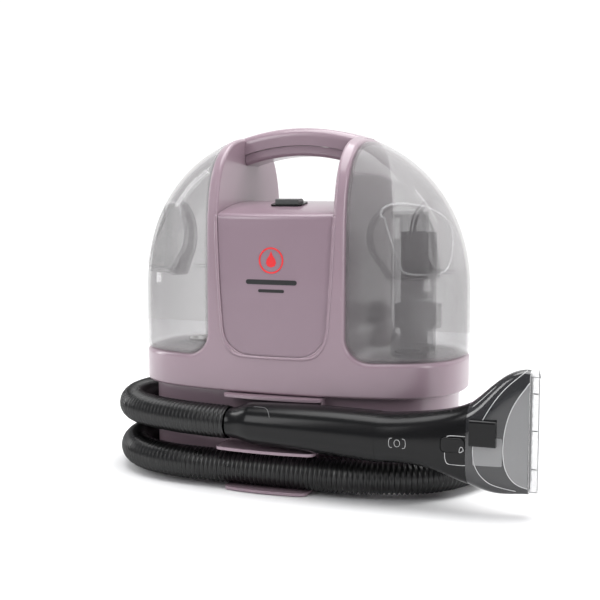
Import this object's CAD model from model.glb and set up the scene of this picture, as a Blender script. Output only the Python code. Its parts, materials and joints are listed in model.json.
# portable spot cleaner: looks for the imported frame
import bpy
import bmesh
import json
import math
from mathutils import Matrix, Vector
from mathutils.bvhtree import BVHTree


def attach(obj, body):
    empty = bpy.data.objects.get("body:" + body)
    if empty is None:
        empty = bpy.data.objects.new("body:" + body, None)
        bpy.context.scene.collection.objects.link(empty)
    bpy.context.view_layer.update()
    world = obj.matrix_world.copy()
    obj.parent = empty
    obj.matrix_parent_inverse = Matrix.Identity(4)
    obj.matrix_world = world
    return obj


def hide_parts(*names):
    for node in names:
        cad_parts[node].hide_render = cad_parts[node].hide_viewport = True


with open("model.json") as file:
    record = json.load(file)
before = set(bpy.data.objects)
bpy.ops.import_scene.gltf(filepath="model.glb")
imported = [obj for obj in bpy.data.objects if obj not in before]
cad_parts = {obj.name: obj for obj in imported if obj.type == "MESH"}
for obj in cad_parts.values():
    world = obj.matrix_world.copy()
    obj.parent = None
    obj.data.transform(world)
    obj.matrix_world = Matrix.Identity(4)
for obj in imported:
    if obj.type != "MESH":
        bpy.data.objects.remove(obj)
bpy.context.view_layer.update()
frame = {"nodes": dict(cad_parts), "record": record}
nodes = frame["nodes"]
print("frame loaded", len(nodes), "nodes")

mm = 0.001


# ---- camera, light and floor
studio = {
    "eye": (0.3397, -0.9274, 0.2497),
    "turn": 20.45,
    "dip": 5.8,
    "lens": 67.04,
    "floorTint": (0.93, 0.93, 0.93, 1),
    "backTint": (1, 1, 1, 1),
    "worldTint": (0.9, 0.92, 1, 1),
    "worldPower": 0.24,
    "glowPower": 1.05,
    "floorHalf": 5,
    "backdropHalf": 3,
    "backdropPlace": (0, 0.95, 0),
}
bpy.context.scene.view_settings.view_transform = "Standard"

camData = bpy.data.cameras.new("studioCamera")
camData.lens = studio["lens"]
camData.clip_start = 0.02
camera = bpy.data.objects.new("studioCamera", camData)
camera.location = studio["eye"]
camera.rotation_euler = (math.radians(90 - studio["dip"]), 0, math.radians(studio["turn"]))
bpy.context.scene.collection.objects.link(camera)
bpy.context.scene.camera = camera

softboxes = [
    # name, place, aim, width, height, power
    ("topBox", (0.1, 0.0, 1.5), (0, 0.05, 0.1), 1.5, 1.2, 29),
    ("keyBox", (-0.9, -1.5, 1.0), (0, 0, 0.15), 0.5, 1.0, 8),
    ("sideBox", (1.5, -0.6, 0.6), (0.05, 0, 0.15), 0.35, 1.1, 9),
    ("leftStrip", (-1.3, -0.1, 0.6), (0, 0, 0.15), 0.25, 1.1, 7),
    ("rightBack", (1.1, 1.1, 0.9), (0.1, 0, 0.15), 0.6, 0.9, 8),
]
for name, place, aim, width, height, power in softboxes:
    lightData = bpy.data.lights.new(name, "AREA")
    lightData.shape = "RECTANGLE"
    lightData.size, lightData.size_y = width, height
    lightData.energy = power
    light = bpy.data.objects.new(name, lightData)
    light.location = place
    light.rotation_euler = (Vector(aim) - Vector(place)).to_track_quat("-Z", "Y").to_euler()
    bpy.context.scene.collection.objects.link(light)

world = bpy.data.worlds.new("paleRoom")
world.use_nodes = True
world.node_tree.nodes["Background"].inputs["Color"].default_value = studio["worldTint"]
world.node_tree.nodes["Background"].inputs["Strength"].default_value = studio["worldPower"]
bpy.context.scene.world = world


# ---- shader helper: a socket that takes part in Python expressions
class Wire:
    def __init__(self, tree, socket):
        self.tree = tree
        self.socket = socket

    def maths(self, operation, first, second):
        return nodeOf(self.tree, "ShaderNodeMath", {"operation": operation}, {0: first, 1: second})

    def __add__(self, other):
        return self.maths("ADD", self, other)

    def __mul__(self, other):
        return self.maths("MULTIPLY", self, other)

    __radd__ = __add__
    __rmul__ = __mul__


def nodeOf(tree, kind, settings=None, inputs=None, out=0):
    node = tree.nodes.new(kind)
    for key, value in (settings or {}).items():
        if key == "stops":
            ramp = node.color_ramp
            while len(ramp.elements) < len(value):
                ramp.elements.new(0.5)
            for element, (place, tint) in zip(ramp.elements, value):
                element.position = place
                element.color = tint
        else:
            setattr(node, key, value)
    for key, value in (inputs or {}).items():
        if isinstance(value, Wire):
            tree.links.new(value.socket, node.inputs[key])
        else:
            node.inputs[key].default_value = value
    return Wire(tree, node.outputs[out])


def finish(name, tint, rough, roughSwing=0.06, grain=900, grainDepth=0.02, tintSwing=0.04, metal=0, coat=0,
           coatRough=0.1, smudge=25, alpha=None, ior=1.5, scratch=0):
    mat = bpy.data.materials.new(name)
    mat.use_nodes = True
    tree = mat.node_tree
    shader = tree.nodes["Principled BSDF"]
    place = nodeOf(tree, "ShaderNodeTexCoord", out=3)
    clouds = nodeOf(tree, "ShaderNodeTexNoise", None, {"Vector": place, "Scale": smudge, "Detail": 3})
    fine = nodeOf(tree, "ShaderNodeTexNoise", None, {"Vector": place, "Scale": grain, "Detail": 2})
    dark = [channel * (1 - tintSwing) for channel in tint] + [1]
    light = [min(1, channel * (1 + tintSwing)) for channel in tint] + [1]
    colour = nodeOf(
        tree, "ShaderNodeValToRGB", {"stops": [(0.3, dark), (0.7, light)]}, {"Fac": clouds * 0.7 + fine * 0.3}
    )
    tree.links.new(colour.socket, shader.inputs["Base Color"])
    roughness = clouds * roughSwing + (rough - roughSwing / 2)
    tree.links.new(roughness.socket, shader.inputs["Roughness"])
    height = fine
    if scratch:
        brushed = nodeOf(tree, "ShaderNodeMapping", None, {"Vector": place, "Scale": (40, 40, 900)})
        height = fine * 0.4 + nodeOf(tree, "ShaderNodeTexNoise", None, {"Vector": brushed, "Scale": scratch}) * 0.6
    bump = nodeOf(tree, "ShaderNodeBump", None, {"Height": height, "Strength": grainDepth, "Distance": 0.001})
    tree.links.new(bump.socket, shader.inputs["Normal"])
    shader.inputs["Metallic"].default_value = metal
    shader.inputs["Coat Weight"].default_value = coat
    shader.inputs["Coat Roughness"].default_value = coatRough
    shader.inputs["IOR"].default_value = ior
    if alpha:
        # thicker towards the silhouette, as a curved wall looks
        facing = nodeOf(tree, "ShaderNodeLayerWeight", None, {"Blend": alpha[2]}, out=1)
        tree.links.new((facing * (alpha[1] - alpha[0]) + alpha[0]).socket, shader.inputs["Alpha"])
    return mat


finishes = {
    "pink_plastic": finish("mauveShell", (0.3, 0.216, 0.256), 0.3, 0.05, 1400, 0.03, 0.02, coat=0.35, coatRough=0.12),
    "pink_panel": finish("mauvePanel", (0.262, 0.186, 0.225), 0.3, 0.05, 1400, 0.02, 0.02, coat=0.3, coatRough=0.12),
    "clear_tank": finish("smokyTank", (0.27, 0.255, 0.262), 0.12, 0.04, 600, 0.015, 0.02, coat=0.4, coatRough=0.04,
                         alpha=(0.2, 0.72, 0.18)),
    "clear_nozzle": finish("smokedWindow", (0.03, 0.03, 0.032), 0.08, 0.03, 700, 0.01, 0.02, coat=0.6,
                           coatRough=0.04, alpha=(0.9, 0.98, 0.4)),
    "black_plastic": finish("blackSatin", (0.006, 0.006, 0.0063), 0.22, 0.05, 1100, 0.03, 0.12, ior=1.33),
    "black_matte": finish("blackMatte", (0.012, 0.012, 0.012), 0.5, 0.08, 900, 0.12, 0.12),
    "hose_black": finish("hoseBlack", (0.007, 0.007, 0.007), 0.28, 0.06, 800, 0.03, 0.15, ior=1.5),
    "grey_plastic": finish("greyMoulded", (0.3, 0.3, 0.31), 0.45, 0.08, 900, 0.1, 0.04),
    "white_plastic": finish("whiteMoulded", (0.7, 0.7, 0.68), 0.4, 0.06, 900, 0.05, 0.03),
    "seal_rubber": finish("softRubber", (0.02, 0.02, 0.021), 0.7, 0.1, 700, 0.2, 0.15),
    "steel": finish("platedSteel", (0.55, 0.55, 0.57), 0.3, 0.12, 900, 0.08, 0.05, metal=1, scratch=3),
    "bristle": finish("nylonBristle", (0.03, 0.03, 0.032), 0.42, 0.1, 1500, 0.1, 0.2),
}
detail = {
    "signRed": finish("signRed", (0.75, 0.025, 0.03), 0.35, 0.03, 900, 0.01, 0.02),
    "ink": finish("inkBlack", (0.01, 0.01, 0.011), 0.4, 0.03, 900, 0.01, 0.02),
    "windowGrey": finish("windowGrey", (0.2, 0.2, 0.202), 0.16, 0.03, 700, 0.01, 0.05, coat=0.5, coatRough=0.05),
    "channelGrey": finish("channelGrey", (0.24, 0.24, 0.242), 0.3, 0.03, 700, 0.01, 0.05),
    "brightSeam": finish("brightSeam", (0.62, 0.62, 0.62), 0.2, 0.03, 700, 0, 0.02),
    "clearLip": finish("clearLip", (0.85, 0.85, 0.85), 0.08, 0.03, 700, 0.01, 0.02, coat=0.5, coatRough=0.03,
                       alpha=(0.25, 0.6, 0.3)),
    "clearRim": finish("clearRim", (0.8, 0.79, 0.795), 0.15, 0.03, 700, 0.01, 0.02, coat=0.4, alpha=(0.22, 0.5, 0.2)),
    "innerClear": finish("innerClear", (0.3, 0.29, 0.295), 0.2, 0.03, 700, 0.01, 0.02, alpha=(0.22, 0.5, 0.2)),
    "fillTick": finish("fillTick", (0.2, 0.2, 0.2), 0.3, 0.03, 700, 0.01, 0.02, alpha=(0.55, 0.7, 0.2)),
    "tickGrey": finish("tickGrey", (0.16, 0.16, 0.162), 0.3, 0.03, 700, 0.01, 0.02),
    "rockerGrey": finish("rockerGrey", (0.1, 0.105, 0.103), 0.3, 0.05, 900, 0.03, 0.05, coat=0.3),
}
slotOf = {part["node"]: part["material_slot"] for part in frame["record"]["subparts"]}
for name, piece in nodes.items():
    piece.data.materials.clear()
    piece.data.materials.append(finishes[slotOf[name]])
for name, tint in {"nozzle_lip": "clearLip", "power_switch": "rockerGrey", "standpipes": "innerClear",
                   "float_ring": "innerClear"}.items():
    nodes[name].data.materials[0] = detail[tint]
print("finishes made", len(finishes) + len(detail))


def stagePlane(name, size, place, tilt, material):
    mesh = bpy.data.meshes.new(name)
    bm = bmesh.new()
    bmesh.ops.create_grid(bm, x_segments=1, y_segments=1, size=size)
    bmesh.ops.rotate(bm, verts=bm.verts, cent=(0, 0, 0), matrix=Matrix.Rotation(tilt, 3, "X"))
    bmesh.ops.translate(bm, verts=bm.verts, vec=place)
    bm.to_mesh(mesh)
    bm.free()
    plane = bpy.data.objects.new(name, mesh)
    bpy.context.scene.collection.objects.link(plane)
    mesh.materials.append(material)
    return plane


glow = bpy.data.materials.new("backGlow")
glow.use_nodes = True
glow.node_tree.nodes["Principled BSDF"].inputs["Base Color"].default_value = (0, 0, 0, 1)
glow.node_tree.nodes["Principled BSDF"].inputs["Emission Color"].default_value = studio["backTint"]
glow.node_tree.nodes["Principled BSDF"].inputs["Emission Strength"].default_value = studio["glowPower"]
paleFloor = finish("paleFloor", studio["floorTint"][:3], 0.7, 0.02, 300, 0, 0.002)
stagePlane("floor", studio["floorHalf"], (0, 0, 0), 0, paleFloor)
stagePlane("backdrop", studio["backdropHalf"], studio["backdropPlace"], math.pi / 2, glow)


def newPiece(name, bm, slotName, body, material=None, replaced=()):
    mesh = bpy.data.meshes.new(name)
    bm.to_mesh(mesh)
    bm.free()
    mesh.shade_smooth()
    piece = bpy.data.objects.new(name, mesh)
    bpy.context.scene.collection.objects.link(piece)
    mesh.materials.append(material or finishes[slotName])
    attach(piece, body)
    if replaced:
        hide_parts(*replaced)
    return piece


# ---- hose: a corrugated tube along its route
hose = {
    "route": [
        (-0.025, 0.077, 0.0175), (-0.123, 0.077, 0.0175), (-0.169, -0.0055, 0.0175), (-0.123, -0.088, 0.0175),
        (-0.003, -0.0895, 0.0175), (0.118, -0.088, 0.0175), (0.168, -0.0055, 0.0175), (0.12, 0.078, 0.0175),
        (0.004, 0.079, 0.0545), (-0.123, 0.077, 0.056), (-0.171, -0.0055, 0.056), (-0.123, -0.089, 0.056),
        (-0.032, -0.0965, 0.056),
    ],
    "radius": 0.014,
    "groove": 0.0019,
    "pitch": 0.004,
    "length": 1.182,
    "around": 26,
}


def routeLine(route, steps=40, closed=False):
    # places along a smooth curve of third order through these control points
    curve = bpy.data.curves.new("route", "CURVE")
    curve.dimensions = "3D"
    curve.resolution_u = steps
    spline = curve.splines.new("NURBS")
    spline.points.add(len(route) - 1)
    for point, place in zip(spline.points, route):
        point.co = (*place, 1)
    spline.order_u = 3
    spline.use_cyclic_u = closed
    spline.use_endpoint_u = not closed
    holder = bpy.data.objects.new("route", curve)
    bpy.context.scene.collection.objects.link(holder)
    bpy.context.view_layer.update()
    line = bpy.data.meshes.new_from_object(holder)
    places = [vertex.co.copy() for vertex in line.vertices]
    bpy.data.objects.remove(holder)
    bpy.data.meshes.remove(line)
    return places


def evenSteps(places, step):
    # walks the line in equal steps and carries a frame along it
    spans = [(b - a).length for a, b in zip(places, places[1:])]
    total = sum(spans)
    count = max(2, round(total / step))
    stops, index, walked = [], 0, 0.0
    for number in range(count + 1):
        goal = total * number / count
        while index < len(spans) - 1 and walked + spans[index] < goal:
            walked += spans[index]
            index += 1
        share = (goal - walked) / spans[index]
        stops.append(places[index].lerp(places[index + 1], min(1, share)))
    frames, side = [], Vector((0, 0, 1))
    for number, stop in enumerate(stops):
        ahead = (stops[min(number + 1, count)] - stops[max(number - 1, 0)]).normalized()
        side = (side - ahead * side.dot(ahead)).normalized()
        frames.append((stop, side, ahead.cross(side)))
    return total, frames


hosePlaces = routeLine(hose["route"])
ringsEach = 6
hoseTotal, hoseFrames = evenSteps(hosePlaces, hose["pitch"] / ringsEach)
bm = bmesh.new()
profile = []
for number in range(len(hoseFrames)):
    wave = 0.5 - 0.5 * math.cos(2 * math.pi * number / ringsEach)
    depth = hose["groove"] * wave ** 0.7
    profile.append(bm.verts.new((hose["radius"] - depth, 0, number)))
edges = [bm.edges.new(pair) for pair in zip(profile, profile[1:])]
bmesh.ops.spin(bm, geom=profile + edges, cent=(0, 0, 0), axis=(0, 0, 1), angle=2 * math.pi,
               steps=hose["around"], use_merge=True)
for vert in bm.verts:
    stop, side, other = hoseFrames[round(vert.co.z)]
    vert.co = stop + side * vert.co.x + other * vert.co.y
bmesh.ops.recalc_face_normals(bm, faces=bm.faces[:])
hosePiece = newPiece("corrugatedHose", bm, "hose_black", "machine", replaced=["hose"])
print("hose made", round(hoseTotal, 3))


# ---- thin details laid on the moulded surfaces, seen from the front
surfaces = {}


def surfaceOf(name):
    mesh = nodes[name].data
    places = [vert.co.copy() for vert in mesh.vertices]
    return BVHTree.FromPolygons(places, [tuple(face.vertices) for face in mesh.polygons])


def onFront(name, x, z, lift):
    if name not in surfaces:
        surfaces[name] = surfaceOf(name)
    tree = surfaces[name]
    place, normal = tree.ray_cast(Vector((x, -0.3, z)), Vector((0, 1, 0)))[:2]
    if place is None:
        # past the outline: the nearest place on the surface instead
        place, normal = tree.find_nearest(Vector((x, -0.12, z)))[:2]
    if normal.y > 0:
        normal = -normal
    return place + normal * lift


def patch(name, outline, target, body, slotName, material, lift=0.0002, cuts=3):
    bm = bmesh.new()
    face = bm.faces.new([bm.verts.new((x * mm, 0, z * mm)) for x, z in outline])
    bmesh.ops.triangulate(bm, faces=[face])
    for turn in range(cuts):
        longEdges = [edge for edge in bm.edges if edge.calc_length() > 0.003]
        if not longEdges:
            break
        bmesh.ops.subdivide_edges(bm, edges=longEdges, cuts=1)
        bmesh.ops.triangulate(bm, faces=bm.faces[:])
    for vert in bm.verts:
        vert.co = onFront(target, vert.co.x, vert.co.z, lift)
    bmesh.ops.recalc_face_normals(bm, faces=bm.faces[:])
    if sum(face.normal.y for face in bm.faces) > 0:
        bmesh.ops.reverse_faces(bm, faces=bm.faces[:])
    return newPiece(name, bm, slotName, body, material=material)


def bead(name, points, target, body, slotName, material, radius=0.3, lift=0.0, closed=False):
    # a fine round line that follows the surface
    flat = routeLine([(x * mm, 0, z * mm) for x, z in points], 12, closed)
    places = [onFront(target, place.x, place.z, lift) for place in flat]
    bm = bmesh.new()
    rings = []
    count = len(places)
    for number, place in enumerate(places):
        before = places[(number - 1) % count] if closed else places[max(number - 1, 0)]
        after = places[(number + 1) % count] if closed else places[min(number + 1, count - 1)]
        ahead = (after - before).normalized()
        out = Vector((0, -1, 0)) - ahead * -ahead.y
        out.normalize()
        side = ahead.cross(out)
        ring = []
        for step in range(6):
            angle = math.pi * step / 3
            ring.append(bm.verts.new(place + (out * math.cos(angle) + side * math.sin(angle)) * radius * mm))
        rings.append(ring)
    pairs = list(zip(rings, rings[1:])) + ([(rings[-1], rings[0])] if closed else [])
    for first, second in pairs:
        for step in range(6):
            bm.faces.new((first[step], first[(step + 1) % 6], second[(step + 1) % 6], second[step]))
    if not closed:
        bm.faces.new(rings[0])
        bm.faces.new(rings[-1])
    bmesh.ops.recalc_face_normals(bm, faces=bm.faces[:])
    return newPiece(name, bm, slotName, body, material=material)


def bar(left, low, right, high, corner):
    # outline of an upright box with round corners
    outline = []
    for cx, cz, start in ((right - corner, low + corner, -90), (right - corner, high - corner, 0),
                          (left + corner, high - corner, 90), (left + corner, low + corner, 180)):
        for step in range(5):
            angle = math.radians(start + 22.5 * step)
            outline.append((cx + corner * math.cos(angle), cz + corner * math.sin(angle)))
    return outline


def ellipse(x, z, across, high, count=12):
    return [(x + across * math.cos(2 * math.pi * step / count), z + high * math.sin(2 * math.pi * step / count))
            for step in range(count)]


# plain sign on the panel: a drop in a ring over two bars
sign = {
    "drop": [(-1.5, 197.2), (0.1, 193.4), (2.3, 190.2), (2.9, 187.4), (1.8, 184.9), (-1.5, 183.6), (-4.8, 184.9),
             (-5.9, 187.4), (-5.3, 190.2), (-3.1, 193.4)],
    "ring": ellipse(-1.5, 189.4, 10.2, 10.2, 24),
    "ringWidth": 0.8,
    "longBar": bar(-24, 169.5, 21, 173.5, 1.9),
    "shortBar": bar(-13, 163, 10, 165.6, 1.2),
}
onPanel = ("front_panel", "machine", "pink_panel")
patch("signDrop", sign["drop"], *onPanel, detail["signRed"])
bead("signRing", sign["ring"], *onPanel, detail["signRed"], sign["ringWidth"], closed=True)
patch("signBarLong", sign["longBar"], *onPanel, detail["ink"])
patch("signBarShort", sign["shortBar"], *onPanel, detail["ink"])

# raised rim round the panel
rimPath = [(-52, 226), (-52, 214), (-49.8, 170), (-47.6, 142), (-45.6, 122), (-36, 109.4), (-15, 108.8), (0, 108.8),
           (15, 108.8), (36, 109.4), (45.6, 122), (47.6, 142), (49.8, 170), (52, 214), (52, 226)]
bead("panelRim", rimPath, "front_housing", "machine", "pink_plastic", finishes["pink_plastic"], 1.5, lift=-0.0004)

# nozzle: smoked window, channel, hood seam and the marks on the clear lip
nozzleMarks = {
    "window": [(214, 105), (211, 100.6), (206.5, 94.4), (201, 84.5), (197.2, 72), (195.4, 58), (195.8, 46), (198, 37),
               (202.6, 29.8), (208.6, 26), (213.6, 25)],
    "channel": bar(173.5, 41, 195, 62.5, 1),
    "hood": [(211.5, 113.6), (206, 109), (198, 102), (190, 92.5), (181, 77.5), (174.5, 62.5), (173.2, 52),
             (174.5, 40.5), (180.5, 30.5), (190, 24.6), (205, 22.3)],
    "lipLine": [(215.5, 25), (215.5, 55), (215.5, 80), (215.5, 110)],
    "lipEdge": [(214, 22.4), (219.6, 22.2), (221.2, 24), (221.4, 55), (221.4, 85), (221.2, 113), (219.4, 114.6),
                (214, 114.6)],
    "lipLevels": (40, 69, 97),
    "lipSpan": (216.5, 220.8),
    "lipMarkHigh": 0.9,
}
onNozzle = ("nozzle_cover", "nozzle", "clear_nozzle")
onLip = ("nozzle_lip", "nozzle", "clear_nozzle")
patch("nozzleWindow", nozzleMarks["window"], *onNozzle, detail["windowGrey"], cuts=4)
bead("windowRim", nozzleMarks["window"], *onNozzle, detail["brightSeam"], 0.35)
patch("nozzleChannel", nozzleMarks["channel"], *onNozzle, detail["channelGrey"], cuts=4)
bead("hoodSeam", nozzleMarks["hood"], *onNozzle, detail["brightSeam"], 0.28)
bead("lipLine", nozzleMarks["lipLine"], *onLip, detail["tickGrey"], 0.5)
bead("lipEdge", nozzleMarks["lipEdge"], *onLip, detail["tickGrey"], 0.28)
for number, level in enumerate(nozzleMarks["lipLevels"]):
    left, right = nozzleMarks["lipSpan"]
    patch(f"lipMark{number}", bar(left, level, right, level + nozzleMarks["lipMarkHigh"], 0.3), *onLip,
          detail["tickGrey"])

# wand: latch outline and mark, lock sign on the barrel, engraved line on the grip
wandMarks = {
    "latchEdge": [(168, 62.9), (157.5, 63.1), (154.4, 62.5), (153, 59.5), (152.6, 51.7), (153, 44), (154.4, 41),
                  (157.5, 40.4), (168, 40.6)],
    "latchMark": ellipse(165.6, 51.7, 1.6, 3.6),
    "lockLeft": [(112, 50.6), (110.2, 50.6), (109.4, 52.4), (109.4, 56.2), (110.2, 58), (112, 58)],
    "lockRight": [(120, 50.6), (121.8, 50.6), (122.6, 52.4), (122.6, 56.2), (121.8, 58), (120, 58)],
    "lockRing": ellipse(116, 54.3, 2.3, 2.8),
    "gripLine": [(-7, 72.2), (0, 72.4), (5, 71.8), (8, 69), (9.4, 66)],
    "seamWidth": 0.25,
    "markWidth": 0.22,
    "lockWidth": 0.16,
}
onBarrel = ("wand_barrel", "machine", "black_plastic")
bead("latchEdge", wandMarks["latchEdge"], *onBarrel, detail["brightSeam"], wandMarks["seamWidth"])
bead("latchMark", wandMarks["latchMark"], "latch_button", "latch_unit", "black_plastic", detail["brightSeam"],
     wandMarks["markWidth"], closed=True)
for name in ("lockLeft", "lockRight", "lockRing"):
    bead(name, wandMarks[name], *onBarrel, detail["brightSeam"], wandMarks["lockWidth"], closed=name == "lockRing")
bead("gripLine", wandMarks["gripLine"], "wand_grip", "machine", "black_plastic", detail["tickGrey"],
     wandMarks["seamWidth"])

# tanks: fill level, and the bright rounded edge where each finger recess is let in
tankMarks = {
    "fill": ((112.6, 118, 113.7, 172), (113.7, 158, 128, 160.4), (113.7, 145.6, 130, 146.8)),
    "recess": [(104, 178.5), (101, 181), (98, 190), (94, 203), (89, 220), (88, 230), (92, 235), (103, 237),
               (119, 234), (130, 225), (136, 210), (138, 192), (136, 182), (130, 179), (118, 177.5)],
    "recessWidth": 0.9,
    "recessSink": -0.0003,
}
onDirtyTank = ("dirty_tank", "dirty_tank_unit", "clear_tank")
for number, box in enumerate(tankMarks["fill"]):
    patch(f"fillMark{number}", bar(*box, 0.3), *onDirtyTank, detail["fillTick"], cuts=4)
bead("recessEdge", tankMarks["recess"], *onDirtyTank, detail["clearRim"], tankMarks["recessWidth"],
     tankMarks["recessSink"], closed=True)
bead("recessEdgeLeft", [(-x, z) for x, z in tankMarks["recess"]], "clean_tank", "clean_tank_unit", "clear_tank",
     detail["clearRim"], tankMarks["recessWidth"], tankMarks["recessSink"], closed=True)
print("details made")
